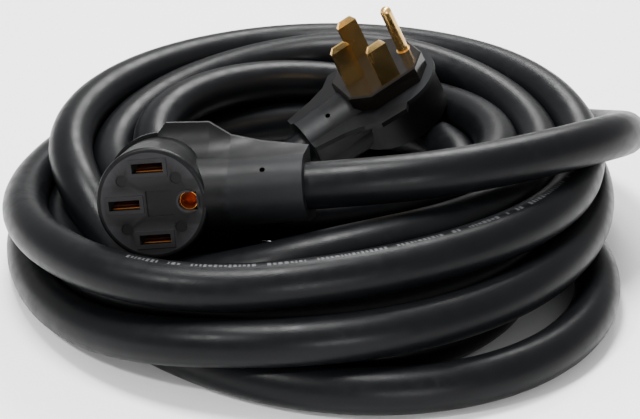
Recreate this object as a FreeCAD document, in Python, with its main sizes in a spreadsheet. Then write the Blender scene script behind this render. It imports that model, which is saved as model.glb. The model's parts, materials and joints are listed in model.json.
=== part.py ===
"""Shore power cord, 50 A, four-wire: right-angle connector, right-angle plug and a coiled cable.

Units are millimetres. The cord lies on the ground plane z = 0 as a loose coil. The connector rests on
the front of the coil with its slots towards -Y, and the plug on the back with its blades up.

Each head is modelled in a frame of its own: X runs down the cable barrel, Z out of the contact face,
and the origin is where the barrel's axis crosses the axis of the round head.
"""
import FreeCAD, Part
import math
import os

Vector = FreeCAD.Vector

DIMENSIONS = {
    # cable
    "cable_diameter": 24.0,
    "conductor_diameter": 7.2,
    "ground_wire_diameter": 5.8,
    "core_diameter": 4.7,
    "ground_core_diameter": 3.7,
    "lay_offset": 4.2,
    "jacket_depth": 24.0,
    "coil_hole_radius": 84.0,
    # contact pattern, shared by plug and connector
    "hot_spacing": 36.6,
    "neutral_offset": 14.0,
    "ground_offset": 18.7,
    "blade_width": 11.8,
    "blade_thickness": 2.4,
    "blade_length": 26.0,
    "blade_root": 22.0,
    "blade_chamfer": 3.0,
    "blade_edge": 0.6,
    "pin_diameter": 6.35,
    "pin_root_diameter": 8.0,
    "pin_length": 30.0,
    # connector head
    "connector_barrel_end": 77.0,
    "connector_face_height": 18.0,
    "connector_head_radius": 28.6,
    "face_radius": 26.2,
    "face_thickness": 8.0,
    "slot_length": 16.0,
    "slot_width": 5.0,
    "rim_width": 2.0,
    "rim_height": 0.6,
    "ground_hole_radius": 4.8,
    "contact_setback": 4.5,
    "contact_width": 15.0,
    "contact_gap": 2.6,
    "contact_sheet": 0.9,
    # plug head
    "plug_barrel_end": 55.0,
    "plug_face_height": 22.0,
    "plug_head_top": 12.0,
    "plug_head_radius": 29.0,
    "carrier_length": 49.0,
    "carrier_width": 42.0,
    "carrier_corner": 10.0,
    "carrier_depth": 17.0,
    # both housings
    "back_height": -14.0,
    "plate_thickness": 2.8,
    "plate_radius": 30.6,
    "barrel_radius": 17.6,
    "shoulder_radius": 18.8,
    "carrier_radius": 25.6,
    "bridge_radius": 23.6,
    "back_wall": 4.0,
    "pin_hole_diameter": 2.8,
}

COLOURS = ("black", "red", "white", "green")

# Wing outline, as (share of the barrel's length, reach to each side of it)
WING = ((0.0, 30.4), (0.06, 35.4), (0.35, 34.2), (0.49, 26.6), (0.69, 22.4), (1.0, 18.6))

# Where each head lies: its origin, its barrel's direction and its face's normal
CONNECTOR_ORIGIN = Vector(-81.5, -69.0, 72.5)
CONNECTOR_BARREL = Vector(0.982, -0.128, 0.140)
CONNECTOR_NORMAL = Vector(-0.160, -0.955, 0.251)
PLUG_FACE_CENTRE = Vector(31.0, 60.0, 86.0)
PLUG_BARREL = Vector(-0.823, -0.385, -0.420)
PLUG_NORMAL = Vector(-0.376, -0.183, 0.908)

# The connector's lead over the coil and round the loop at its right, after the barrel
CONNECTOR_LEAD = (
    Vector(56.0, -77.0, 88.3),
    Vector(92.0, -61.0, 87.0),
    Vector(122.0, -42.0, 83.5),
    Vector(149.0, -17.0, 75.0),
    Vector(164.0, 15.0, 63.0),
    Vector(157.0, 49.0, 50.0),
    Vector(131.0, 75.0, 40.0),
)

# The plug's lead down into the middle of the coil and back under its left side, after the barrel
PLUG_LEAD = (
    Vector(-50.0, 22.5, 20.5),
    Vector(-80.0, 36.0, 13.2),
    Vector(-92.0, 66.0, 12.3),
    Vector(-88.0, 98.0, 12.2),
)

# Each layer of the coil: base, top, centre x and y, outer radius
COIL_LAYERS = (
    (0.0, 24.5, -6.5, 0.0, 164.5),
    (24.0, 48.5, -2.0, 0.0, 159.0),
    (48.0, 72.0, 2.0, 13.0, 149.0),
)


class Model:
    """The document, its sheet of dimensions and its finished sub-parts."""

    def __init__(self, name):
        self.document = FreeCAD.newDocument(name)
        self.sheet = self.document.addObject("Spreadsheet::Sheet", "Dimensions")
        self.nodes = []
        for row, (alias, value) in enumerate(DIMENSIONS.items(), start=1):
            self.sheet.set("A%d" % row, alias)
            self.sheet.set("B%d" % row, str(value))
            self.sheet.setAlias("B%d" % row, alias)
        self.document.recompute()

    def size(self, alias):
        """A dimension read from the sheet."""
        return float(self.sheet.get(alias))

    def primitive(self, kind, name, place=None, **expressions):
        """A Part primitive whose properties are bound to the sheet."""
        item = self.document.addObject("Part::" + kind, name)
        for key, text in expressions.items():
            item.setExpression(key, text)
        if place is not None:
            item.Placement = place
        return item

    def fuse(self, name, items):
        """A union of document objects."""
        item = self.document.addObject("Part::MultiFuse", name)
        item.Shapes = items
        item.Refine = True
        return item

    def shape_of(self, item):
        """The current shape of a document object."""
        self.document.recompute()
        return item.Shape.copy()

    def feature(self, label, shape, place=None):
        """A finished sub-part from a shape worked out in code."""
        item = self.document.addObject("Part::Feature", label)
        item.Shape = shape
        return self.finish(item, label, place)

    def finish(self, item, label, place=None):
        """Name a sub-part, put it in its place and list it for export."""
        self.document.recompute()
        item.Label = label
        if place is not None:
            item.Placement = place.multiply(item.Placement)
        self.nodes.append(item)
        return item


def at(x=0.0, y=0.0, z=0.0, axis=Vector(0, 0, 1), angle=0.0):
    """A placement from a position and a turn in degrees."""
    return FreeCAD.Placement(Vector(x, y, z), FreeCAD.Rotation(axis, angle))


def along_x(x=0.0, y=0.0, z=0.0):
    """A placement that lays a cylinder's axis along +X."""
    return at(x, y, z, Vector(0, 1, 0), 90.0)


def head_placement(origin, barrel, normal):
    """A head's place: X down its barrel and Z out of its face."""
    return FreeCAD.Placement(origin, FreeCAD.Rotation(barrel, Vector(), normal, "ZXY"))


def smooth_path(points):
    """Straight runs joined by tangent arcs, as large as the runs beside each point allow."""
    edges = []
    radii = []
    start = points[0]
    for before, corner, after in zip(points, points[1:], points[2:]):
        inward = (corner - before).normalize()
        outward = (after - corner).normalize()
        turn = inward.getAngle(outward)
        reach = 0.45 * min((corner - before).Length, (after - corner).Length)
        radius = reach / math.tan(turn / 2.0)
        radii.append(radius)
        first = corner - inward * reach
        last = corner + outward * reach
        bisector = (outward - inward).normalize()
        middle = corner + bisector * (radius / math.cos(turn / 2.0) - radius)
        edges.append(Part.LineSegment(start, first).toShape())
        edges.append(Part.Arc(first, middle, last).toShape())
        start = last
    edges.append(Part.LineSegment(start, points[-1]).toShape())
    return Part.Wire(edges), radii


def tube(points, outer, inner=0.0):
    """A round bar, or a hollow one, swept along a smooth path."""
    path, radii = smooth_path(points)
    direction = points[1] - points[0]
    profile = Part.Face(Part.Wire(Part.makeCircle(outer / 2.0, points[0], direction)))
    if inner > 0.0:
        hole = Part.Face(Part.Wire(Part.makeCircle(inner / 2.0, points[0], direction)))
        profile = profile.cut(hole)
    solid = Part.Wire(path.Edges).makePipe(profile)
    return solid, path.Length, radii


def cut_each(shape, tools):
    """Cut a shape by each tool in turn and keep its largest solid."""
    for tool in tools:
        shape = shape.cut(tool)
    return max(shape.Solids, key=lambda solid: solid.Volume)


def plain_tube(points, diameter):
    """Only the solid of a round bar along a path."""
    return tube(points, diameter)[0]


def box(length, width, height, x=0.0, y=0.0, z=0.0):
    """A box centred on x and y, standing on z."""
    return Part.makeBox(length, width, height, Vector(x - length / 2.0, y - width / 2.0, z))


def disc(radius, low, high, x=0.0, y=0.0):
    """An upright cylinder between two heights."""
    return Part.makeCylinder(radius, high - low, Vector(x, y, low))


def cut_corner_block(model, low, high):
    """The blade carrier's rectangular block with its four corners cut off."""
    x = model.size("carrier_length") / 2.0
    y = model.size("carrier_width") / 2.0
    cut = model.size("carrier_corner")
    outline = ((x, cut - y), (x, y - cut), (x - cut, y), (cut - x, y),
               (-x, y - cut), (-x, cut - y), (cut - x, -y), (x - cut, -y))
    points = [Vector(px, py, low) for px, py in outline]
    face = Part.Face(Part.makePolygon(points + points[:1]))
    return face.extrude(Vector(0, 0, high - low))


def wing_section(model, x, reach, base):
    """A closed section of barrel and wings: flat back, thin edge, hollow web and round top."""
    thickness = model.size("plate_thickness")
    radius = model.size("barrel_radius")
    edge = base + thickness
    lean = math.radians(12.0)
    shoulder = Vector(x, radius * math.cos(lean), radius * math.sin(lean))
    rim = Vector(x, reach, edge)
    chord = shoulder - rim
    sag = 0.2 * max(reach - radius, 1.0)
    middle = rim + chord * 0.5 + Vector(0, -sag * 0.7, -sag * 0.9)
    flip = FreeCAD.Placement(Vector(), FreeCAD.Rotation()).toMatrix()
    flip.A22 = -1.0
    side = [
        Part.LineSegment(Vector(x, 0, base), Vector(x, reach, base)).toShape(),
        Part.LineSegment(Vector(x, reach, base), rim).toShape(),
        Part.Arc(rim, middle, shoulder).toShape(),
    ]
    top = Part.Arc(shoulder, Vector(x, 0, radius), Vector(x, -shoulder.y, shoulder.z)).toShape()
    other = [edge_shape.transformGeometry(flip) for edge_shape in side]
    return Part.Wire(Part.__sortEdges__(side + [top] + other))


def housing_outside(model, barrel_end, head_radius, head_top, plate_in_front):
    """The outside of a right-angle housing: round head, flat plate with wings, and barrel.

    The plate is the back of the connector's head, and the front of the plug's.
    """
    back = model.size("back_height")
    thickness = model.size("plate_thickness")
    flat = -head_top if plate_in_front else back
    sections = [wing_section(model, share * barrel_end, reach, flat) for share, reach in WING]
    wings = Part.makeLoft(sections, True, True)
    plate = disc(model.size("plate_radius"), flat, flat + thickness)
    if plate_in_front:
        wings = wings.mirror(Vector(), Vector(0, 0, 1))
        plate = plate.mirror(Vector(), Vector(0, 0, 1))
    head = disc(head_radius, back, head_top)
    rim = [edge for edge in head.Edges if abs(edge.BoundBox.ZMin - head_top) < 1e-6 and edge.Closed]
    head = head.makeFillet(1.6, rim)
    shoulder = Part.makeCone(model.size("shoulder_radius"), model.size("barrel_radius"), 22.0,
                             Vector(head_radius * 0.6, 0, 0), Vector(1, 0, 0))
    barrel = Part.makeCylinder(model.size("barrel_radius"), barrel_end, Vector(), Vector(1, 0, 0))
    keep = box(200.0, 200.0, 100.0, z=back)
    shapes = [plate, wings, shoulder.common(keep)]
    if plate_in_front:
        shapes.append(barrel.common(keep))
    return head.fuse(shapes).removeSplitter()


def conductor_routes(model, barrel_end, crimp):
    """Each wire's points from the end of the jacket to its own contact."""
    start = barrel_end - model.size("jacket_depth")
    lay = model.size("lay_offset")
    starts = {"black": (lay, -lay), "red": (-lay, -lay), "white": (lay, lay), "green": (-lay, lay)}
    routes = {}
    for colour in COLOURS:
        y, z = starts[colour]
        head = [Vector(start, y, z), Vector(start - 5.0, y, z)]
        routes[colour] = head + [Vector(*point) for point in crimp[colour]]
    return routes


def wires(model, prefix, routes, place, contacts):
    """The insulated conductors as one node each, and their copper as one node."""
    cores = []
    outsides = []
    contacts = list(contacts)
    for colour in COLOURS:
        ground = colour == "green"
        outer = model.size("ground_wire_diameter" if ground else "conductor_diameter")
        inner = model.size("ground_core_diameter" if ground else "core_diameter")
        points = routes[colour]
        insulation = tube(points, outer, inner)[0]
        core = plain_tube(points, inner)
        taken = contacts + outsides
        model.feature("%s_conductor_%s" % (prefix, colour), cut_each(insulation, taken), place)
        cores.append(cut_each(core, taken))
        outsides.append(plain_tube(points, outer))
    model.feature(prefix + "_copper_cores", Part.makeCompound(cores), place)
    return outsides


def blade_contact(model, x, y, low, crimp_start, crimp_end):
    """A folded strip that grips a flat blade, with a crimp for its wire."""
    top = model.size("connector_face_height") - model.size("contact_setback")
    sheet = model.size("contact_sheet")
    width = model.size("contact_width")
    offset = (model.size("contact_gap") + sheet) / 2.0
    leaves = [flared_leaf(width, sheet, x, y, side * offset, low, top) for side in (-1, 1)]
    web = box(width, 2.0 * offset + sheet, sheet, x, y, low)
    barrel = plain_crimp(crimp_start, crimp_end, 3.5)
    return web.fuse(leaves + [barrel]).removeSplitter()


def flared_leaf(width, sheet, x, y, offset, low, top):
    """One leaf of a blade contact: straight, then leaning out to guide the blade in."""
    side = math.copysign(1.0, offset)
    inner = offset - side * sheet / 2.0
    outer = offset + side * sheet / 2.0
    bend = top - 4.5
    lean = side * 0.9
    outline = [(inner, low), (outer, low), (outer, bend), (outer + lean, top), (inner + lean, top), (inner, bend)]
    points = [Vector(x - width / 2.0, y + py, pz) for py, pz in outline]
    return Part.Face(Part.makePolygon(points + points[:1])).extrude(Vector(width, 0, 0))


def plain_crimp(start, end, radius):
    """A solid crimp barrel between two points."""
    axis = end - start
    return Part.makeCylinder(radius, axis.Length, start, axis)


def ground_contact(model, x, low):
    """A sleeve for the round ground pin, flared at its mouth, with a crimp for its wire."""
    top = model.size("connector_face_height") - 3.0
    bore = model.size("pin_diameter") / 2.0 + 0.05
    outside = disc(bore + 1.4, low, top, x)
    hole = disc(bore, low + 1.5, top, x)
    flare = Part.makeCone(bore, bore + 1.1, 7.0, Vector(x, 0, top - 7.0))
    crimp = plain_crimp(Vector(x + bore, 0, -1.0), Vector(x + bore + 7.8, 0, -1.0), 3.0)
    return outside.fuse(crimp).cut(hole).cut(flare).removeSplitter()


def ground_opening(model, x, low, high):
    """The round-and-flat hole for the ground pin, its flat side towards the barrel."""
    radius = model.size("ground_hole_radius")
    round_part = disc(radius, low, high, x)
    flat = box(radius, 2.0 * radius, high - low, x + radius / 2.0, 0.0, low)
    return round_part.fuse(flat).removeSplitter()


def connector_face(model, place, contacts):
    """The face insert: three blade slots and a ground hole, each with a raised rim."""
    top = model.size("connector_face_height")
    low = top - model.size("face_thickness")
    rim = model.size("rim_width")
    height = model.size("rim_height")
    length = model.size("slot_length")
    width = model.size("slot_width")
    spots = slot_spots(model)
    face = disc(model.size("face_radius"), low, top)
    recess = box(13.0, 13.0, 1.0, 4.0, 0.0, top - 0.8)
    face = face.cut(recess)
    marks = [disc(3.0, top - 0.5, top + 0.1, x, y) for x in (-14.0, 14.0) for y in (-12.5, 12.5)]
    face = face.cut(marks)
    raised = [box(length + 2 * rim, width + 2 * rim, height, x, y, top - 0.01) for x, y in spots]
    ground_x = model.size("ground_offset")
    raised.append(disc(model.size("ground_hole_radius") + 1.2, top - 0.01, top + height, ground_x))
    face = face.fuse(raised)
    face = face.common(disc(model.size("face_radius"), low, top + height))
    openings = [box(length, width, 20.0, x, y, low - 1.0) for x, y in spots]
    openings.append(ground_opening(model, ground_x, low - 1.0, top + 2.0))
    model.feature("connector_face", cut_each(face, openings + contacts), place)


def slot_spots(model):
    """Centres of the two hot slots and the neutral slot."""
    half = model.size("hot_spacing") / 2.0
    return ((0.0, half), (0.0, -half), (-model.size("neutral_offset"), 0.0))


def build_connector(model, place):
    """The female end: housing, face, contact carrier, four contacts and four wires."""
    end = model.size("connector_barrel_end")
    top = model.size("connector_face_height")
    face_low = top - model.size("face_thickness")
    base = model.size("back_height")
    floor = base + model.size("back_wall")
    half = model.size("hot_spacing") / 2.0
    crimp = {
        "black": ((25.0, 12.0, -5.0), (13.4, 13.5, -5.0)),
        "red": ((25.0, -12.0, -5.0), (13.4, -13.5, -5.0)),
        "white": ((26.0, 8.9, 4.4), (11.0, 8.7, 4.2), (3.6, 1.0, 4.0), (-2.7, 0.0, 4.0)),
        "green": ((35.4, -1.0, -0.6), (29.9, 0.0, -1.0)),
    }
    routes = conductor_routes(model, end, crimp)
    low = floor + 1.0
    contacts = {
        "hot_x": blade_contact(model, 0.0, half, low, Vector(2.0, 13.5, -5.0), Vector(13.3, 13.5, -5.0)),
        "hot_y": blade_contact(model, 0.0, -half, low, Vector(2.0, -13.5, -5.0), Vector(13.3, -13.5, -5.0)),
        "neutral": blade_contact(model, -model.size("neutral_offset"), 0.0, low,
                                 Vector(-7.3, 0.0, 4.0), Vector(-2.8, 0.0, 4.0)),
        "ground": ground_contact(model, model.size("ground_offset"), low),
    }
    insides = []
    for name, shape in contacts.items():
        model.feature("connector_contact_" + name, shape, place)
        insides.append(shape)
    outsides = wires(model, "connector", routes, place, insides)
    carrier = disc(model.size("carrier_radius"), floor, face_low)
    spaces = [box(model.size("slot_length"), model.size("contact_gap"), face_low - low, x, y, low + 1.0)
              for x, y in slot_spots(model)]
    spaces.append(disc(model.size("pin_diameter") / 2.0 + 0.05, low + 1.5, face_low,
                       model.size("ground_offset")))
    carrier = cut_each(carrier, insides + outsides + spaces)
    connector_face(model, place, insides)
    model.feature("connector_contact_carrier", carrier, place)
    housing = housing_outside(model, end, model.size("connector_head_radius"), top, False)
    cavity = [
        disc(model.size("face_radius"), face_low, top + 5.0),
        disc(model.size("carrier_radius"), floor, face_low),
        jacket_bore(model, end),
        pin_hole(model, 57.0, 45.0),
    ]
    model.feature("connector_housing", cut_each(housing, cavity + insides + outsides), place)


def jacket_bore(model, barrel_end):
    """The hole that the cable's jacket fills at the end of the barrel."""
    depth = model.size("jacket_depth")
    return Part.makeCylinder(model.size("cable_diameter") / 2.0, depth + 1.0,
                             Vector(barrel_end - depth, 0, 0), Vector(1, 0, 0))


def pin_hole(model, x, lean):
    """The small blind hole that a locating pin leaves in the barrel, leaning to +Y of the top."""
    angle = math.radians(lean)
    outward = Vector(0, math.sin(angle), math.cos(angle))
    depth = 4.0
    start = Vector(x, 0, 0) + outward * (model.size("barrel_radius") - depth)
    return Part.makeCylinder(model.size("pin_hole_diameter") / 2.0, depth + 3.0, start, outward)


def blade(model, label, x, y, place):
    """A flat blade: root in the carrier, free end tapered on all sides."""
    width = model.size("blade_width")
    thick = model.size("blade_thickness")
    low = model.size("plug_face_height") - model.size("blade_root")
    top = model.size("plug_face_height") + model.size("blade_length")
    tip = model.size("blade_chamfer")
    corner = x - width / 2.0
    bar = model.primitive(
        "Box", label + "_bar", at(corner, y - thick / 2.0, low),
        Length="Dimensions.blade_width", Width="Dimensions.blade_thickness",
        Height="Dimensions.blade_root + Dimensions.blade_length - Dimensions.blade_chamfer")
    end = model.primitive(
        "Wedge", label + "_end", at(corner, y + thick / 2.0, top - tip, Vector(1, 0, 0), 90.0),
        Xmin="0", Ymin="0", Zmin="0", Xmax="Dimensions.blade_width", Ymax="Dimensions.blade_chamfer",
        Zmax="Dimensions.blade_thickness", X2min="Dimensions.blade_chamfer * 0.75",
        X2max="Dimensions.blade_width - Dimensions.blade_chamfer * 0.75",
        Z2min="Dimensions.blade_edge", Z2max="Dimensions.blade_thickness - Dimensions.blade_edge")
    solid = model.fuse(label + "_solid", [bar, end])
    shape = model.shape_of(solid)
    model.finish(solid, label, place)
    return shape


def ground_pin(model, place):
    """The round ground pin: a thicker root in the carrier and a domed free end."""
    face = model.size("plug_face_height")
    x = -model.size("ground_offset")
    low = face - model.size("blade_root")
    top = face + model.size("pin_length") - model.size("pin_diameter") / 2.0
    root = model.primitive("Cylinder", "ground_pin_root", at(x, 0.0, low),
                           Radius="Dimensions.pin_root_diameter / 2", Height="Dimensions.blade_root")
    shank = model.primitive(
        "Cylinder", "ground_pin_shank", at(x, 0.0, face - 1.0), Radius="Dimensions.pin_diameter / 2",
        Height="Dimensions.pin_length + 1 - Dimensions.pin_diameter / 2")
    dome = model.primitive("Sphere", "ground_pin_dome", at(x, 0.0, top), Radius="Dimensions.pin_diameter / 2")
    solid = model.fuse("ground_pin_solid", [root, shank, dome])
    shape = model.shape_of(solid)
    model.finish(solid, "plug_ground_pin", place)
    return shape


def build_plug(model, place):
    """The male end: housing, blade carrier, inner bridge, four pins and four wires."""
    end = model.size("plug_barrel_end")
    face = model.size("plug_face_height")
    head_top = model.size("plug_head_top")
    base = model.size("back_height")
    floor = base + model.size("back_wall")
    half = model.size("hot_spacing") / 2.0
    crimp = {
        "black": ((17.0, 11.6, -4.8), (1.0, 16.4, -4.6), (-6.0, 17.9, -3.9)),
        "red": ((17.0, -11.6, -4.8), (1.0, -16.4, -4.6), (-6.0, -17.9, -3.9)),
        "white": ((20.3, 1.4, 3.0),),
        "green": ((16.0, -8.6, 2.0), (0.0, -8.0, 0.4), (-13.0, -2.0, -3.0), (-19.0, 0.0, -3.6)),
    }
    routes = conductor_routes(model, end, crimp)
    pins = [
        blade(model, "plug_blade_hot_x", 0.0, half, place),
        blade(model, "plug_blade_hot_y", 0.0, -half, place),
        blade(model, "plug_blade_neutral", model.size("neutral_offset"), 0.0, place),
        ground_pin(model, place),
    ]
    outsides = wires(model, "plug", routes, place, pins)
    carrier_low = face - model.size("carrier_depth")
    carrier = cut_corner_block(model, carrier_low, face)
    upper = [edge for edge in carrier.Edges if edge.BoundBox.ZMin > face - 0.01]
    carrier = carrier.makeChamfer(0.8, upper)
    blocked = pins + outsides
    model.feature("plug_blade_carrier", cut_each(carrier, blocked), place)
    bridge = disc(model.size("bridge_radius"), floor, carrier_low)
    model.feature("plug_inner_bridge", cut_each(bridge, blocked), place)
    housing = housing_outside(model, end, model.size("plug_head_radius"), head_top, True)
    cavity = [
        cut_corner_block(model, carrier_low, head_top + 15.0),
        disc(model.size("bridge_radius"), floor, carrier_low),
        jacket_bore(model, end),
        pin_hole(model, 38.0, 20.0),
    ]
    model.feature("plug_housing", cut_each(housing, cavity + blocked), place)


def lead(model, label, barrel_end, straight, place, free_points):
    """A cable lead: its end in the barrel, then its free route. Prints its radii and volume."""
    inner = barrel_end - model.size("jacket_depth")
    points = [place.multVec(Vector(inner, 0, 0)), place.multVec(Vector(barrel_end + straight, 0, 0))]
    points += list(free_points)
    diameter = model.size("cable_diameter")
    solid, length, radii = tube(points, diameter)
    expected = math.pi * diameter ** 2 / 4.0 * length
    print("%s: length %.0f, radii %s" % (label, length, ", ".join("%.0f" % radius for radius in radii)))
    print("%s: volume %.0f, section x length %.0f" % (label, solid.Volume, expected))
    model.feature(label, solid)
    return solid


def head_envelope(model, barrel_end, head_radius, head_top, place, plate_in_front):
    """The shapes that a head needs clear of the coil."""
    gap = 0.6
    base = model.size("back_height") - gap
    wide = max(head_radius, model.size("plate_radius")) + gap
    head = disc(wide, base, head_top + gap)
    barrel = Part.makeCylinder(model.size("barrel_radius") + 1.8, barrel_end + gap, Vector(), Vector(1, 0, 0))
    plate_low = head_top + gap - 9.0 if plate_in_front else base
    web_low = head_top + gap - 19.0 if plate_in_front else base
    plate = box(barrel_end * 0.52, 72.0, 9.0, barrel_end * 0.26, 0.0, plate_low)
    web = box(barrel_end + gap, 58.4, 19.0, barrel_end * 0.5, 0.0, web_low)
    shapes = [head, barrel, plate, web]
    for solid in shapes:
        solid.Placement = place
    return shapes


def layer(low, high, x, y, radius):
    """One layer of the coil: a disc with rounded outer edges."""
    solid = disc(radius, low, high, x, y)
    return solid.makeFillet(7.0, [edge for edge in solid.Edges if edge.Closed])


def build_coil(model, clear_of):
    """The coiled length of cable as the outer shape of its turns, with room for what lies in it."""
    layers = [layer(*values) for values in COIL_LAYERS]
    hole = disc(model.size("coil_hole_radius"), -1.0, 100.0)
    solid = layers[0].fuse(layers[1:]).cut(hole)
    model.feature("cable_coil", cut_each(solid, clear_of))


def check(model):
    """Stop if any object failed or any sub-part is empty or invalid."""
    model.document.recompute()
    for item in model.document.Objects:
        if any(word in item.State for word in ("Invalid", "Error")):
            raise RuntimeError("%s failed" % item.Label)
    for item in model.nodes:
        if item.Shape.isNull() or not item.Shape.isValid():
            raise RuntimeError("%s has no valid shape" % item.Label)
        if not item.Shape.Solids:
            raise RuntimeError("%s has no solid" % item.Label)


def main():
    """Build every sub-part, check it and write its file."""
    model = Model("ShorePowerCord")
    connector_place = head_placement(CONNECTOR_ORIGIN, CONNECTOR_BARREL, CONNECTOR_NORMAL)
    normal = Vector(PLUG_NORMAL)
    plug_origin = PLUG_FACE_CENTRE - normal.normalize() * model.size("plug_face_height")
    plug_place = head_placement(plug_origin, PLUG_BARREL, PLUG_NORMAL)
    build_connector(model, connector_place)
    build_plug(model, plug_place)
    connector_end = model.size("connector_barrel_end")
    plug_end = model.size("plug_barrel_end")
    leads = [
        lead(model, "cable_lead_connector", connector_end, 15.0, connector_place, CONNECTOR_LEAD),
        lead(model, "cable_lead_plug", plug_end, 8.0, plug_place, PLUG_LEAD),
    ]
    envelopes = head_envelope(model, connector_end, model.size("connector_head_radius"),
                              model.size("connector_face_height"), connector_place, False)
    envelopes += head_envelope(model, plug_end, model.size("plug_head_radius"),
                               model.size("plug_head_top"), plug_place, True)
    build_coil(model, leads + envelopes)
    check(model)
    os.makedirs("parts", exist_ok=True)
    for item in model.nodes:
        item.Shape.exportStep("parts/%s.step" % item.Label)
        box_of = item.Shape.BoundBox
        print("%-30s solids %d volume %9.0f  x %6.1f %6.1f  y %6.1f %6.1f  z %6.1f %6.1f" % (
            item.Label, len(item.Shape.Solids), item.Shape.Volume,
            box_of.XMin, box_of.XMax, box_of.YMin, box_of.YMax, box_of.ZMin, box_of.ZMax))


main()
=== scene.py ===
"""A coiled 50 A shore power cord: the cable as it lies, its two moulded heads and their finishes.

Lengths in the lay are in metres. The coil winds counter-clockwise seen from above, from the
connector's lead at its top to the plug's lead at its floor.
"""

import json
import logging
import math
from dataclasses import dataclass, field
from enum import Enum

import bpy
import numpy as np
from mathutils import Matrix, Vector

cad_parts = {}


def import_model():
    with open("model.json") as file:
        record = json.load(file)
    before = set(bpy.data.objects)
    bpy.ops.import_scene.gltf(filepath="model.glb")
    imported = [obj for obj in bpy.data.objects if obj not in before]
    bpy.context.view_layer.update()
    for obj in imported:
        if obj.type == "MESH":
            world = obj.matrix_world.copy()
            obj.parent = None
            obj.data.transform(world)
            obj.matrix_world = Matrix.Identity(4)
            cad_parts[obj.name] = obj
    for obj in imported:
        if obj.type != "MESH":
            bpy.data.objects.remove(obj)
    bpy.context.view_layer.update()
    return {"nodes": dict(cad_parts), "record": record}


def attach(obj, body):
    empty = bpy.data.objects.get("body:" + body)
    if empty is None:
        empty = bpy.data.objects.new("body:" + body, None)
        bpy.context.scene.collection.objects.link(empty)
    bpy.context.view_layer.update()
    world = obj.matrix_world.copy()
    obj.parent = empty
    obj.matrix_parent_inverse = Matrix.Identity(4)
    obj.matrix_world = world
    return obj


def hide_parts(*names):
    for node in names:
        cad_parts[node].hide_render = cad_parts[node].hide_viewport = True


LOG = logging.getLogger("shore_power_cord")

CABLE_DIAMETER = 0.024
SPLINE_ORDER = 3

# Where a colour Mix node keeps its factor, its two colours and its result
MIX_FACTOR, MIX_FIRST, MIX_SECOND, MIX_RESULT = 0, 6, 7, 2

# How many features to a metre each noise has
PATCH_SCALE = 22.0
MOTTLE_SCALE = 140.0
SCUFF_SCALE = 60.0
TARNISH_SCALE = 90.0
FLOOR_SCALE = 40.0

# The row of printed marks: where it begins along the cable, its length and the side it is on
PRINT_START = 1.84
PRINT_LENGTH = 0.27
PRINT_SIDE = (0.0, 0.05, 1.0)


class Head(Enum):
    """The two moulded ends of the cord."""

    CONNECTOR = "connector"
    PLUG = "plug"


@dataclass(frozen=True)
class Pose:
    """Where a head lies, and the plain shape that the cable is kept clear of, in metres.

    Args:
        origin: the point where the barrel's axis crosses the face's.
        barrel, normal: the way the barrel points and the way the face looks.
        barrel_end: how far along its axis the barrel ends.
        top, back: how far the head reaches in front of its origin and behind it.
        head_radius, barrel_radius: radius of the round head and of the barrel.
        plate_reach: half the width of the plate.
        plate_middle, plate_run: the plate's middle along the barrel and half its length.
        plate_depth, plate_wall: how far the plate lies behind the origin and half its thickness.
    """

    origin: tuple
    barrel: tuple
    normal: tuple
    barrel_end: float
    top: float
    back: float = -0.014
    head_radius: float = 0.0306
    barrel_radius: float = 0.0180
    plate_reach: float = 0.0345
    plate_middle: float = 0.018
    plate_run: float = 0.022
    plate_depth: float = 0.0125
    plate_wall: float = 0.0015

    def axes(self) -> np.ndarray:
        """The head's X, Y and Z directions as rows."""
        z = np.array(self.normal)
        z = z / np.linalg.norm(z)
        x = np.array(self.barrel)
        x = x - z * (x @ z)
        x = x / np.linalg.norm(x)
        return np.array([x, np.cross(z, x), z])

    def along(self, distance: float) -> np.ndarray:
        """A point on the barrel's axis."""
        return np.array(self.origin) + self.axes()[0] * distance

    def gap(self, points: np.ndarray) -> np.ndarray:
        """Distance from each point to the head's surface, negative inside it.

        Args:
            points: one row for each point.

        Returns:
            One distance for each row.
        """
        local = (points - np.array(self.origin)) @ self.axes().T
        radial = np.hypot(local[:, 0], local[:, 1]) - self.head_radius
        middle = (self.top + self.back) / 2.0
        axial = np.abs(local[:, 2] - middle) - (self.top - self.back) / 2.0
        outside = np.hypot(np.maximum(radial, 0.0), np.maximum(axial, 0.0))
        head = outside + np.minimum(np.maximum(radial, axial), 0.0)
        run = np.clip(local[:, 0], 0.0, self.barrel_end - self.barrel_radius)
        offset = local - np.stack([run, 0 * run, 0 * run], axis=1)
        barrel = np.linalg.norm(offset, axis=1) - self.barrel_radius
        beyond = [np.maximum(np.abs(local[:, 0] - self.plate_middle) - self.plate_run, 0.0),
                  np.maximum(np.abs(local[:, 1]) - self.plate_reach, 0.0),
                  np.maximum(np.abs(local[:, 2] + self.plate_depth) - self.plate_wall, 0.0)]
        plate = np.sqrt(beyond[0] ** 2 + beyond[1] ** 2 + beyond[2] ** 2)
        return np.minimum(np.minimum(head, barrel), plate)


POSES = {
    Head.CONNECTOR: Pose((-0.0815, -0.069, 0.0725), (0.982, -0.128, 0.140),
                         (-0.160, -0.955, 0.251), 0.077, 0.018),
    Head.PLUG: Pose((0.03927, 0.06403, 0.06602), (-0.823, -0.385, -0.420),
                    (-0.376, -0.183, 0.908), 0.055, 0.022),
}

# The connector's lead after its barrel, and the plug's lead before its barrel
CONNECTOR_LEAD = ((0.056, -0.077, 0.0883), (0.092, -0.061, 0.087), (0.122, -0.042, 0.0835),
                  (0.149, -0.017, 0.075), (0.164, 0.015, 0.063), (0.157, 0.049, 0.050))
PLUG_LEAD = ((-0.088, 0.098, 0.0122), (-0.092, 0.066, 0.0123), (-0.080, 0.036, 0.0132),
             (-0.050, 0.0225, 0.0205))

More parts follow.
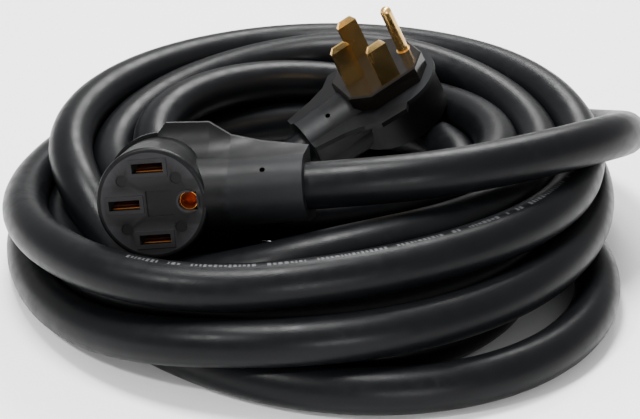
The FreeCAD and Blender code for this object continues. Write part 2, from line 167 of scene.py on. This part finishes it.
# Where the cable passes as it winds: azimuth in degrees, then radius and height in millimetres
WINDING = (
    (28, 166, 34), (54, 164, 22), (75, 167, 14), (100, 164, 12), (135, 160, 12), (180, 162, 12),
    (215, 154, 12), (242, 155, 28), (270, 152, 35),
    (315, 140, 36), (360, 149, 36), (405, 149, 36), (450, 152, 36),
    (495, 151, 36), (540, 154, 37), (570, 149, 40), (600, 147, 45), (630, 129, 54),
    (675, 125, 60), (705, 141, 60), (740, 148, 60), (780, 152, 60), (810, 153, 60),
    (855, 138, 60), (900, 136, 60), (925, 128, 53), (945, 118, 40), (965, 110, 40), (990, 99, 57),
    (1035, 105, 60), (1070, 118, 60), (1105, 124, 60), (1170, 127, 60),
    (1215, 126, 57), (1255, 114, 48), (1290, 95, 40), (1320, 73, 48), (1350, 59, 55),
    (1385, 68, 58), (1415, 88, 60), (1440, 100, 60), (1470, 103, 60), (1530, 104, 60),
    (1590, 105, 60), (1620, 100, 57), (1660, 82, 42), (1710, 72, 32),
    (1760, 77, 40), (1800, 82, 50), (1840, 84, 50), (1890, 86, 38), (1940, 100, 36),
    (1980, 104, 36), (2070, 102, 36),
    (2120, 100, 36), (2160, 102, 36), (2205, 120, 36), (2250, 126, 36), (2340, 128, 36),
    (2430, 126, 36),
    (2475, 118, 36), (2520, 120, 32), (2570, 137, 13), (2610, 143, 12), (2700, 134, 12),
    (2745, 137, 12), (2790, 158, 12),
    (2835, 174, 12), (2864, 158, 12), (2880, 141, 12), (2925, 129, 12), (2970, 121, 12),
    (3060, 110, 12), (3105, 114, 12), (3150, 132, 14),
    (3190, 128, 14), (3220, 112, 12), (3240, 106, 12), (3290, 98, 12), (3330, 97, 12), (3350, 106, 12),
)


def eased(x: np.ndarray, known: np.ndarray, values: np.ndarray) -> np.ndarray:
    """A smooth curve through known values, with the slope between neighbours at each.

    Args:
        x: where values are wanted.
        known: where values are known, in rising order.
        values: the known values.

    Returns:
        A value for each entry of x.
    """
    slope = np.gradient(values, known)
    index = np.clip(np.searchsorted(known, x) - 1, 0, len(known) - 2)
    width = known[index + 1] - known[index]
    t = (x - known[index]) / width
    return ((2 * t ** 3 - 3 * t ** 2 + 1) * values[index]
            + (t ** 3 - 2 * t ** 2 + t) * width * slope[index]
            + (3 * t ** 2 - 2 * t ** 3) * values[index + 1]
            + (t ** 3 - t ** 2) * width * slope[index + 1])


def spline_weights(count: int, samples: int) -> np.ndarray:
    """The weight of each control point at even steps along a clamped quadratic spline.

    Args:
        count: number of control points.
        samples: number of points wanted along the spline.

    Returns:
        A row for each sample, with a column for each control point.
    """
    last = count - 2.0
    knots = np.concatenate([np.zeros(2), np.arange(count - 1), np.full(2, last)])
    place = np.linspace(0.0, last - 1e-9, samples)[:, None]
    basis = ((knots[:-1] <= place) & (place < knots[1:])).astype(float)
    for degree in (1, 2):
        span = knots[degree:] - knots[:-degree]
        rise = np.where(span > 0.0, (place - knots[:-degree]) / np.maximum(span, 1e-9), 0.0)
        basis = rise[:, :-1] * basis[:, :-1] + (1.0 - rise[:, 1:]) * basis[:, 1:]
    return basis


@dataclass
class CableLay:
    """The cable's control points: placed as a listed winding, then settled under contact.

    Args:
        step: azimuth between control points in the coil, in degrees.
        spacing: mean distance between the points that contact is measured at.
        rounds: number of settling steps.
        held: how many control points at each end stay in line with their barrel.
        radius: half the cable's diameter.
        neighbours: how many points on either side of a point never press on it.
        give: share of an overlap that one step takes away.
        pull: share of the way back to its first place that a step takes a point.
        stiffness: how strongly a step evens out the curvature.
        nudge: the step that the slope of a head's gap is read over.
        inside: how far the cable's ends run into the barrels.
        connector_straight, plug_straight: how far it runs straight out of each barrel.
    """

    step: float = 15.0
    spacing: float = 0.012
    rounds: int = 220
    held: int = 4
    radius: float = CABLE_DIAMETER / 2.0
    neighbours: int = 6
    give: float = 0.7
    pull: float = 0.015
    stiffness: float = 0.015
    nudge: float = 0.001
    inside: float = 0.012
    connector_straight: float = 0.015
    plug_straight: float = 0.008

    def placed(self) -> np.ndarray:
        """The control points before settling, from the connector's barrel to the plug's."""
        turns = np.array(WINDING, dtype=float)
        azimuth = np.arange(turns[0, 0], turns[-1, 0] + 1.0, self.step)
        radius = eased(azimuth, turns[:, 0], turns[:, 1] / 1000.0)
        height = np.maximum(eased(azimuth, turns[:, 0], turns[:, 2] / 1000.0), self.radius)
        angle = np.radians(azimuth)
        coil = np.stack([radius * np.cos(angle), radius * np.sin(angle), height], axis=1)
        connector = POSES[Head.CONNECTOR]
        plug = POSES[Head.PLUG]
        start = [connector.along(connector.barrel_end - self.inside),
                 connector.along(connector.barrel_end + self.connector_straight)]
        end = [plug.along(plug.barrel_end + self.plug_straight), plug.along(plug.barrel_end - self.inside)]
        return np.vstack([start, CONNECTOR_LEAD, coil, PLUG_LEAD, end])

    def controls(self) -> np.ndarray:
        """The control points after the turns have pushed each other apart and come to rest."""
        home = self.placed()
        length = np.linalg.norm(np.diff(home, axis=0), axis=1).sum()
        weights = spline_weights(len(home), int(length / self.spacing))
        share = (weights / weights.sum(axis=0)).T
        index = np.arange(len(weights))
        apart = np.abs(np.subtract.outer(index, index)) > self.neighbours
        ease = np.ones((len(home), 1))
        ease[:self.held] = 0.0
        ease[-self.held:] = 0.0
        controls = home.copy()
        for _ in range(self.rounds):
            line = weights @ controls
            push = share @ (self.contact(line, apart) + self.clear_of_heads(line))
            home_pull = (home - controls) * self.pull
            controls += (push * self.give + self.straighten(controls) + home_pull) * ease
            controls[:, 2] = np.maximum(controls[:, 2], self.radius)
        LOG.info("lay: %.3f m, %d control points", length, len(controls))
        return controls

    def contact(self, points: np.ndarray, apart: np.ndarray) -> np.ndarray:
        """A push on each point away from every other turn that it presses into.

        Args:
            points: points along the cable.
            apart: True for each pair far enough apart along the cable to press.

        Returns:
            A push for each point.
        """
        offset = points[:, None, :] - points[None, :, :]
        distance = np.sqrt((offset ** 2).sum(axis=2)) + 1e-9
        depth = np.where(apart, np.maximum(2.0 * self.radius - distance, 0.0), 0.0)
        share = depth / np.maximum(depth.sum(axis=1, keepdims=True), 1e-9) * (depth > 0)
        return (offset / distance[..., None] * (depth * share)[..., None]).sum(axis=1)

    def clear_of_heads(self, points: np.ndarray) -> np.ndarray:
        """A push on each point out of the two heads.

        Args:
            points: points along the cable.

        Returns:
            A push for each point.
        """
        total = np.zeros_like(points)
        for pose in POSES.values():
            gap = pose.gap(points)
            shifted = [pose.gap(points + self.nudge * np.eye(3)[axis]) for axis in range(3)]
            slope = np.stack([there - gap for there in shifted], axis=1)
            slope /= np.maximum(np.linalg.norm(slope, axis=1, keepdims=True), 1e-9)
            total += slope * np.maximum(self.radius - gap, 0.0)[:, None]
        return total

    def straighten(self, points: np.ndarray) -> np.ndarray:
        """The jacket's stiffness: each point moves against the local change of curvature."""
        curve = np.zeros_like(points)
        curve[1:-1] = points[:-2] + points[2:] - 2.0 * points[1:-1]
        result = np.zeros_like(points)
        result[2:-2] = -(curve[1:-3] + curve[3:-1] - 2.0 * curve[2:-2]) * self.stiffness
        return result


class Socket:
    """A value in a material's graph. Arithmetic on it adds Math nodes.

    Args:
        graph: the graph that it belongs to.
        output: the node output that it stands for.
    """

    def __init__(self, graph: "Graph", output: bpy.types.NodeSocket):
        self.graph = graph
        self.output = output

    def _math(self, operation, *others):
        return self.graph.node("ShaderNodeMath", {"operation": operation}, [self, *others])

    def __add__(self, other):
        return self._math("ADD", other)

    def __radd__(self, other):
        return self._math("ADD", other)

    def __sub__(self, other):
        return self._math("SUBTRACT", other)

    def __rsub__(self, other):
        return self.graph.node("ShaderNodeMath", {"operation": "SUBTRACT"}, [other, self])

    def __mul__(self, other):
        return self._math("MULTIPLY", other)

    def __rmul__(self, other):
        return self._math("MULTIPLY", other)

    def above(self, low, high):
        """0 below low, 1 above high and a straight ramp between them."""
        return self.graph.node("ShaderNodeMapRange", {}, {"Value": self, "From Min": low, "From Max": high})


class Graph:
    """A material's node graph, built round its Principled shader.

    Args:
        name: the material's name.
    """

    def __init__(self, name: str):
        self.material = bpy.data.materials.new(name)
        self.material.use_nodes = True
        self.tree = self.material.node_tree
        self.shader = self.tree.nodes["Principled BSDF"]

    def node(self, kind, settings, inputs, output=0):
        """Add a node.

        Args:
            kind: its Blender type.
            settings: its properties.
            inputs: sockets or constants, by name or in order.
            output: the name or number of the output wanted.

        Returns:
            That output as a Socket.
        """
        item = self.tree.nodes.new(kind)
        for key, value in settings.items():
            setattr(item, key, value)
        pairs = inputs.items() if isinstance(inputs, dict) else enumerate(inputs)
        for key, value in pairs:
            self.feed(item.inputs[key], value)
        return Socket(self, item.outputs[output])

    def feed(self, target, value):
        """Link a socket or set a constant."""
        if isinstance(value, Socket):
            self.tree.links.new(value.output, target)
        else:
            target.default_value = value

    def place(self):
        """Object coordinates."""
        return self.node("ShaderNodeTexCoord", {}, {}, "Object")

    def noise(self, scale, detail=4.0, vector=None, rough=0.5):
        """Fractal noise from 0 to 1."""
        return self.node("ShaderNodeTexNoise", {}, {"Vector": vector or self.place(), "Scale": scale,
                                                    "Detail": detail, "Roughness": rough}, "Fac")

    def mix(self, amount, first, second):
        """A blend of two colours."""
        item = self.tree.nodes.new("ShaderNodeMix")
        item.data_type = "RGBA"
        self.feed(item.inputs[MIX_FACTOR], amount)
        self.feed(item.inputs[MIX_FIRST], first)
        self.feed(item.inputs[MIX_SECOND], second)
        return Socket(self, item.outputs[MIX_RESULT])

    def stretched(self, axis, along, across):
        """Coordinates scaled one way along an axis and another way across it.

        Args:
            axis: a unit direction.
            along, across: the two scales.

        Returns:
            The coordinates as a Socket.
        """
        place = self.place()
        dot = self.node("ShaderNodeVectorMath", {"operation": "DOT_PRODUCT"}, [place, tuple(axis)], "Value")
        direction = self.node("ShaderNodeCombineXYZ", {}, [dot * float(axis[0]), dot * float(axis[1]),
                                                           dot * float(axis[2])])
        part = self.node("ShaderNodeVectorMath", {"operation": "SCALE"},
                         {"Vector": direction, "Scale": along - across})
        rest = self.node("ShaderNodeVectorMath", {"operation": "SCALE"}, {"Vector": place, "Scale": across})
        return self.node("ShaderNodeVectorMath", {"operation": "ADD"}, [part, rest])

    def bump(self, height, distance, strength=1.0):
        """Relief on the surface."""
        self.feed(self.shader.inputs["Normal"],
                  self.node("ShaderNodeBump", {}, {"Height": height, "Distance": distance,
                                                   "Strength": strength}, "Normal"))

    def edges(self):
        """1 on worn outer edges and 0 elsewhere."""
        return self.node("ShaderNodeNewGeometry", {}, {}, "Pointiness").above(0.52, 0.62)


@dataclass(frozen=True)
class Polymer:
    """A moulded or extruded plastic.

    Args:
        colour, worn: base colour and the colour of its scuffs and edges.
        roughness, variation: mean roughness and how much it wanders.
        grain, depth: size and height of its surface grain.
        scuffs: share of the surface with pale marks, 0 to 1.
        specular: strength of its reflections.
    """

    colour: tuple
    worn: tuple
    roughness: float
    variation: float
    grain: float
    depth: float
    scuffs: float = 0.2
    specular: float = 0.5

    def build(self, name: str) -> bpy.types.Material:
        """The finished material."""
        graph = Graph(name)
        broad = graph.noise(PATCH_SCALE, 3.0)
        middle = graph.noise(MOTTLE_SCALE, 5.0, rough=0.6)
        fine = graph.noise(self.grain, 3.0)
        marks = graph.noise(SCUFF_SCALE, 8.0, rough=0.8).above(0.66 - 0.12 * self.scuffs, 0.78)
        wear = (marks * middle * self.scuffs) + graph.edges() * 0.5 * self.scuffs
        tone = graph.mix(broad.above(0.35, 0.7) * 0.6, (*self.colour, 1.0),
                         tuple(min(c * 1.5, 1.0) for c in self.colour) + (1.0,))
        colour = graph.mix(wear.above(0.0, 1.0), tone, (*self.worn, 1.0))
        graph.feed(graph.shader.inputs["Base Color"], colour)
        rough = (middle - 0.5) * self.variation + self.roughness + wear * 0.2
        graph.feed(graph.shader.inputs["Roughness"], rough.above(0.0, 1.0))
        graph.shader.inputs["Specular IOR Level"].default_value = self.specular
        graph.bump(fine * 0.6 + middle * 0.4, self.depth)
        return graph.material


@dataclass(frozen=True)
class Metal:
    """Stamped or drawn metal with its grain along one axis.

    Args:
        colour, tarnish: clean colour and the colour of its dull patches.
        axis: the direction of the grain.
        roughness: mean roughness.
        grain, stretch: how fine the grain is across it, and how coarse along it in proportion.
        depth: height of the grain.
    """

    colour: tuple
    tarnish: tuple
    axis: tuple
    roughness: float = 0.26
    grain: float = 2600.0
    depth: float = 0.00002
    stretch: float = 0.03

    def build(self, name: str) -> bpy.types.Material:
        """The finished material."""
        graph = Graph(name)
        lines = graph.noise(1.0, 3.0, graph.stretched(self.axis, self.grain * self.stretch, self.grain))
        patches = graph.noise(TARNISH_SCALE, 6.0, rough=0.7).above(0.42, 0.72)
        colour = graph.mix(patches * 0.55 + lines * 0.2, (*self.colour, 1.0), (*self.tarnish, 1.0))
        graph.feed(graph.shader.inputs["Base Color"], colour)
        graph.shader.inputs["Metallic"].default_value = 1.0
        rough = lines * 0.14 + patches * 0.12 + (self.roughness - 0.1) + graph.edges() * -0.05
        graph.feed(graph.shader.inputs["Roughness"], rough)
        graph.bump(lines, self.depth)
        return graph.material


PLUG_AXIS = tuple(POSES[Head.PLUG].axes()[2])
CONNECTOR_AXIS = tuple(POSES[Head.CONNECTOR].axes()[2])

FINISHES = {
    "cable_jacket": Polymer(
        colour=(0.0022, 0.0024, 0.0029), worn=(0.014, 0.015, 0.017),
        roughness=0.36, variation=0.36, grain=1300.0, depth=0.00012, scuffs=0.70, specular=0.10,
    ),
    "housing_rubber": Polymer(
        colour=(0.0024, 0.0025, 0.0028), worn=(0.018, 0.019, 0.021),
        roughness=0.42, variation=0.24, grain=2400.0, depth=0.00005, scuffs=0.70, specular=0.12,
    ),
    "face_black": Polymer(
        colour=(0.0022, 0.0022, 0.0024), worn=(0.034, 0.034, 0.037),
        roughness=0.48, variation=0.16, grain=2600.0, depth=0.00003, scuffs=0.80, specular=0.16,
    ),
    "carrier_black": Polymer(
        colour=(0.0028, 0.0022, 0.0018), worn=(0.020, 0.016, 0.013),
        roughness=0.16, variation=0.06, grain=2600.0, depth=0.00001, scuffs=0.30, specular=0.30,
    ),
    "inner_moulding": Polymer(
        colour=(0.008, 0.008, 0.008), worn=(0.05, 0.05, 0.05),
        roughness=0.5, variation=0.14, grain=1800.0, depth=0.00003,
    ),
    "blade_brass": Metal(
        colour=(0.86, 0.58, 0.22), tarnish=(0.50, 0.27, 0.08),
        axis=PLUG_AXIS, roughness=0.26,
    ),
    "contact_brass": Metal(
        colour=(0.80, 0.33, 0.08), tarnish=(0.40, 0.10, 0.03),
        axis=CONNECTOR_AXIS, roughness=0.38,
    ),
    "copper": Metal(
        colour=(0.74, 0.35, 0.2), tarnish=(0.4, 0.16, 0.08),
        axis=(1.0, 0.0, 0.0), roughness=0.3,
    ),
    "insulation_black": Polymer(
        colour=(0.015, 0.015, 0.015), worn=(0.1, 0.1, 0.1),
        roughness=0.3, variation=0.1, grain=1500.0, depth=0.00003,
    ),
    "insulation_red": Polymer(
        colour=(0.42, 0.015, 0.015), worn=(0.5, 0.2, 0.2),
        roughness=0.3, variation=0.1, grain=1500.0, depth=0.00003,
    ),
    "insulation_white": Polymer(
        colour=(0.72, 0.72, 0.7), worn=(0.6, 0.6, 0.58),
        roughness=0.3, variation=0.1, grain=1500.0, depth=0.00003,
    ),
    "insulation_green": Polymer(
        colour=(0.01, 0.22, 0.05), worn=(0.15, 0.3, 0.2),
        roughness=0.3, variation=0.1, grain=1500.0, depth=0.00003,
    ),
}

PRINT_INK = Polymer(colour=(0.020, 0.021, 0.023), worn=(0.035, 0.035, 0.035), roughness=0.5,
                    variation=0.1, grain=2400.0, depth=0.00001)


@dataclass
class Cable:
    """The jacketed cable as one smooth spline.

    Args:
        lay: the route it follows.
        material: its jacket's finish.
        roundness: how finely its section is divided.
        fineness: how finely each span of the spline is divided.
    """

    lay: CableLay
    material: bpy.types.Material
    name: str = "cable"
    roundness: int = 10
    fineness: int = 6
    piece: bpy.types.Object = field(default=None, init=False)

    def build(self) -> bpy.types.Object:
        """Make the spline, bind it to the object and hide the CAD parts that it replaces."""
        controls = self.lay.controls()
        curve = bpy.data.curves.new(self.name, "CURVE")
        curve.dimensions = "3D"
        curve.bevel_depth = CABLE_DIAMETER / 2.0
        curve.bevel_resolution = self.roundness
        curve.resolution_u = self.fineness
        curve.use_fill_caps = True
        spline = curve.splines.new("NURBS")
        spline.points.add(len(controls) - 1)
        spline.points.foreach_set("co", np.column_stack([controls, np.ones(len(controls))]).ravel())
        spline.order_u = SPLINE_ORDER
        spline.use_endpoint_u = True
        curve.materials.append(self.material)
        self.piece = bpy.data.objects.new(self.name, curve)
        bpy.context.scene.collection.objects.link(self.piece)
        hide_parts("cable_coil", "cable_lead_connector", "cable_lead_plug")
        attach(self.piece, "root")
        return self.piece

    def centreline(self) -> np.ndarray:
        """Points along the spline's own line, read from a copy with no thickness."""
        plain = self.piece.data.copy()
        plain.bevel_depth = 0.0
        plain.use_fill_caps = False
        holder = bpy.data.objects.new("plain", plain)
        bpy.context.scene.collection.objects.link(holder)
        bpy.context.view_layer.update()
        mesh = bpy.data.meshes.new_from_object(holder.evaluated_get(bpy.context.evaluated_depsgraph_get()))
        points = np.empty(len(mesh.vertices) * 3)
        mesh.vertices.foreach_get("co", points)
        bpy.data.objects.remove(holder)
        bpy.data.curves.remove(plain)
        bpy.data.meshes.remove(mesh)
        return points.reshape(-1, 3)

    def declare(self, plug_pieces: list) -> None:
        """Work out the point where the cable leaves the connector's barrel; nothing is kept or declared."""
        connector = POSES[Head.CONNECTOR]
        tuple(connector.along(connector.barrel_end))


@dataclass
class PrintMarks:
    """Generic dashes printed along the jacket, with no letters in them.

    Args:
        line: points along the cable's centreline.
        start, length: where the row begins and how long it is, in metres along the cable.
        towards: the side of the jacket that the row is on.
        height, lift: the tallest mark, and how far the marks stand off the jacket.
        narrowest, widening: the narrowest mark, and the most that is added to it.
        space: the gap after a mark.
        word_space, word_share: the extra gap between groups of marks, and how often it comes.
        shortest: the lowest mark as a share of the tallest.
        half_step: how far to each side along the cable its direction is taken from.
        seed: what the random draws start from.
    """

    line: np.ndarray
    start: float
    length: float
    towards: tuple
    name: str = "print_marks"
    height: float = 0.0030
    lift: float = 0.00005
    narrowest: float = 0.0008
    widening: float = 0.0013
    space: float = 0.0010
    word_space: float = 0.0045
    word_share: float = 0.16
    shortest: float = 0.6
    half_step: float = 0.002
    seed: int = 7

    def frames(self, reach: np.ndarray) -> tuple:
        """Place, direction and outward side at distances along the cable."""
        steps = np.linalg.norm(np.diff(self.line, axis=0), axis=1)
        known = np.concatenate([[0.0], np.cumsum(steps)])
        at = [np.stack([np.interp(reach + shift, known, self.line[:, axis]) for axis in range(3)], axis=1)
              for shift in (-self.half_step, 0.0, self.half_step)]
        ahead = at[2] - at[0]
        ahead /= np.linalg.norm(ahead, axis=1, keepdims=True)
        side = np.array(self.towards) - ahead * (ahead @ np.array(self.towards))[:, None]
        side /= np.linalg.norm(side, axis=1, keepdims=True)
        return at[1], ahead, side

    def dashes(self) -> np.ndarray:
        """A row for each mark: its distance along the cable, its width and its share of the full height."""
        chance = np.random.default_rng(self.seed)
        places = []
        reach = self.start
        while reach < self.start + self.length:
            width = self.narrowest + self.widening * chance.random()
            places.append((reach, width, self.shortest + (1.0 - self.shortest) * chance.random()))
            reach += width + self.space + (self.word_space if chance.random() < self.word_share else 0.0)
        return np.array(places)

    def build(self, material: bpy.types.Material) -> bpy.types.Object:
        """One mesh of small patches that follow the jacket's surface.

        Args:
            material: the ink.

        Returns:
            The new object.
        """
        rows = self.dashes()
        radius = CABLE_DIAMETER / 2.0 + self.lift
        across = np.linspace(-0.5, 0.5, 5)
        angle = (across[None, :] * (self.height * rows[:, 2] / radius)[:, None])[..., None]
        ends = []
        for share in (0.0, 1.0):
            middle, ahead, side = self.frames(rows[:, 0] + rows[:, 1] * share)
            cross = np.cross(ahead, side)
            outward = side[:, None, :] * np.cos(angle) + cross[:, None, :] * np.sin(angle)
            ends.append(middle[:, None, :] + outward * radius)
        corners = np.stack(ends, axis=1).reshape(-1, 3)
        near = (np.arange(len(rows))[:, None] * 2 * len(across) + np.arange(len(across) - 1)).ravel()
        far = near + len(across)
        faces = np.stack([near, near + 1, far + 1, far], axis=1)
        mesh = bpy.data.meshes.new(self.name)
        mesh.from_pydata(corners.tolist(), [], faces.tolist())
        mesh.materials.append(material)
        piece = bpy.data.objects.new(self.name, mesh)
        bpy.context.scene.collection.objects.link(piece)
        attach(piece, "root")
        return piece


# Each light's name, place, side in metres and power in watts
LIGHTS = (
    ("key", (-0.20, 0.10, 1.55), 0.45, 52.0),
    ("back", (0.25, 1.15, 1.15), 0.60, 34.0),
    ("spark", (-0.80, -0.75, 1.15), 0.12, 16.0),
    ("brass", (0.35, -1.35, 0.35), 0.25, 9.0),
)


@dataclass
class Studio:
    """A pale floor, soft lights and the camera.

    Args:
        target: the point that the lights and the camera face.
        elevation, distance: how far up and how far away the camera is.
        lens, sensor: focal length and sensor width in millimetres.
        reach: half the floor's side.
        surround: brightness of the white all round.
    """

    target: tuple = (0.0, 0.0, 0.028)
    elevation: float = 28.0
    distance: float = 1.2
    lens: float = 123.75
    sensor: float = 36.0
    reach: float = 6.0
    surround: float = 0.85

    def build(self) -> None:
        """Add everything round the object."""
        self.floor()
        self.world()
        for name, place, size, power in LIGHTS:
            self.light(name, place, size, power)
        self.camera()

    def floor(self) -> None:
        """A wide pale floor under the object."""
        mesh = bpy.data.meshes.new("floor")
        corners = [(x * self.reach, y * self.reach, 0.0) for x, y in ((-1, -1), (1, -1), (1, 1), (-1, 1))]
        mesh.from_pydata(corners, [], [(0, 1, 2, 3)])
        graph = Graph("floor")
        grain = graph.noise(FLOOR_SCALE, 4.0)
        graph.feed(graph.shader.inputs["Base Color"],
                   graph.mix(grain, (0.86, 0.86, 0.86, 1.0), (0.9, 0.9, 0.9, 1.0)))
        graph.shader.inputs["Roughness"].default_value = 0.7
        mesh.materials.append(graph.material)
        item = bpy.data.objects.new("floor", mesh)
        bpy.context.scene.collection.objects.link(item)

    def world(self) -> None:
        """An even white surround."""
        world = bpy.data.worlds.new("studio")
        world.use_nodes = True
        back = world.node_tree.nodes["Background"]
        back.inputs["Color"].default_value = (1.0, 1.0, 1.0, 1.0)
        back.inputs["Strength"].default_value = self.surround
        bpy.context.scene.world = world

    def light(self, name: str, place: tuple, size: float, power: float) -> None:
        """A square soft light that faces the object."""
        data = bpy.data.lights.new(name, "AREA")
        data.size = size
        data.energy = power
        item = bpy.data.objects.new(name, data)
        item.location = place
        item.rotation_euler = (Vector(self.target) - Vector(place)).to_track_quat("-Z", "Y").to_euler()
        bpy.context.scene.collection.objects.link(item)

    def camera(self) -> None:
        """The camera, level and aimed at the pile's middle."""
        data = bpy.data.cameras.new("camera")
        data.lens = self.lens
        data.sensor_width = self.sensor
        tilt = math.radians(self.elevation)
        item = bpy.data.objects.new("camera", data)
        item.location = (self.target[0], self.target[1] - self.distance * math.cos(tilt),
                         self.target[2] + self.distance * math.sin(tilt))
        item.rotation_euler = (math.radians(90.0) - tilt, 0.0, 0.0)
        bpy.context.scene.collection.objects.link(item)
        bpy.context.scene.camera = item


def dress_nodes(nodes: dict, record: dict, materials: dict) -> None:
    """Give each CAD node the finish of its own slot.

    Args:
        nodes: the CAD objects by node name.
        record: the part's record, which names each node's slot.
        materials: the finished materials by slot name.
    """
    for entry in record["subparts"]:
        slots = nodes[entry["node"]].data.materials
        if len(slots):
            slots[0] = materials[entry["material_slot"]]
        else:
            slots.append(materials[entry["material_slot"]])


def main() -> None:
    """Build the scene."""
    logging.basicConfig(level=logging.INFO)
    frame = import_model()
    materials = {name: finish.build(name) for name, finish in FINISHES.items()}
    dress_nodes(frame["nodes"], frame["record"], materials)
    cable = Cable(CableLay(), materials["cable_jacket"])
    cable.build()
    line = cable.centreline()
    LOG.info("cable: %.3f m", np.linalg.norm(np.diff(line, axis=0), axis=1).sum())
    plug_pieces = [item for name, item in frame["nodes"].items() if name.startswith("plug_")]
    marks = PrintMarks(line, PRINT_START, PRINT_LENGTH, PRINT_SIDE).build(PRINT_INK.build("print_ink"))
    cable.declare(plug_pieces + [marks])
    Studio().build()


if __name__ == "__main__":
    main()
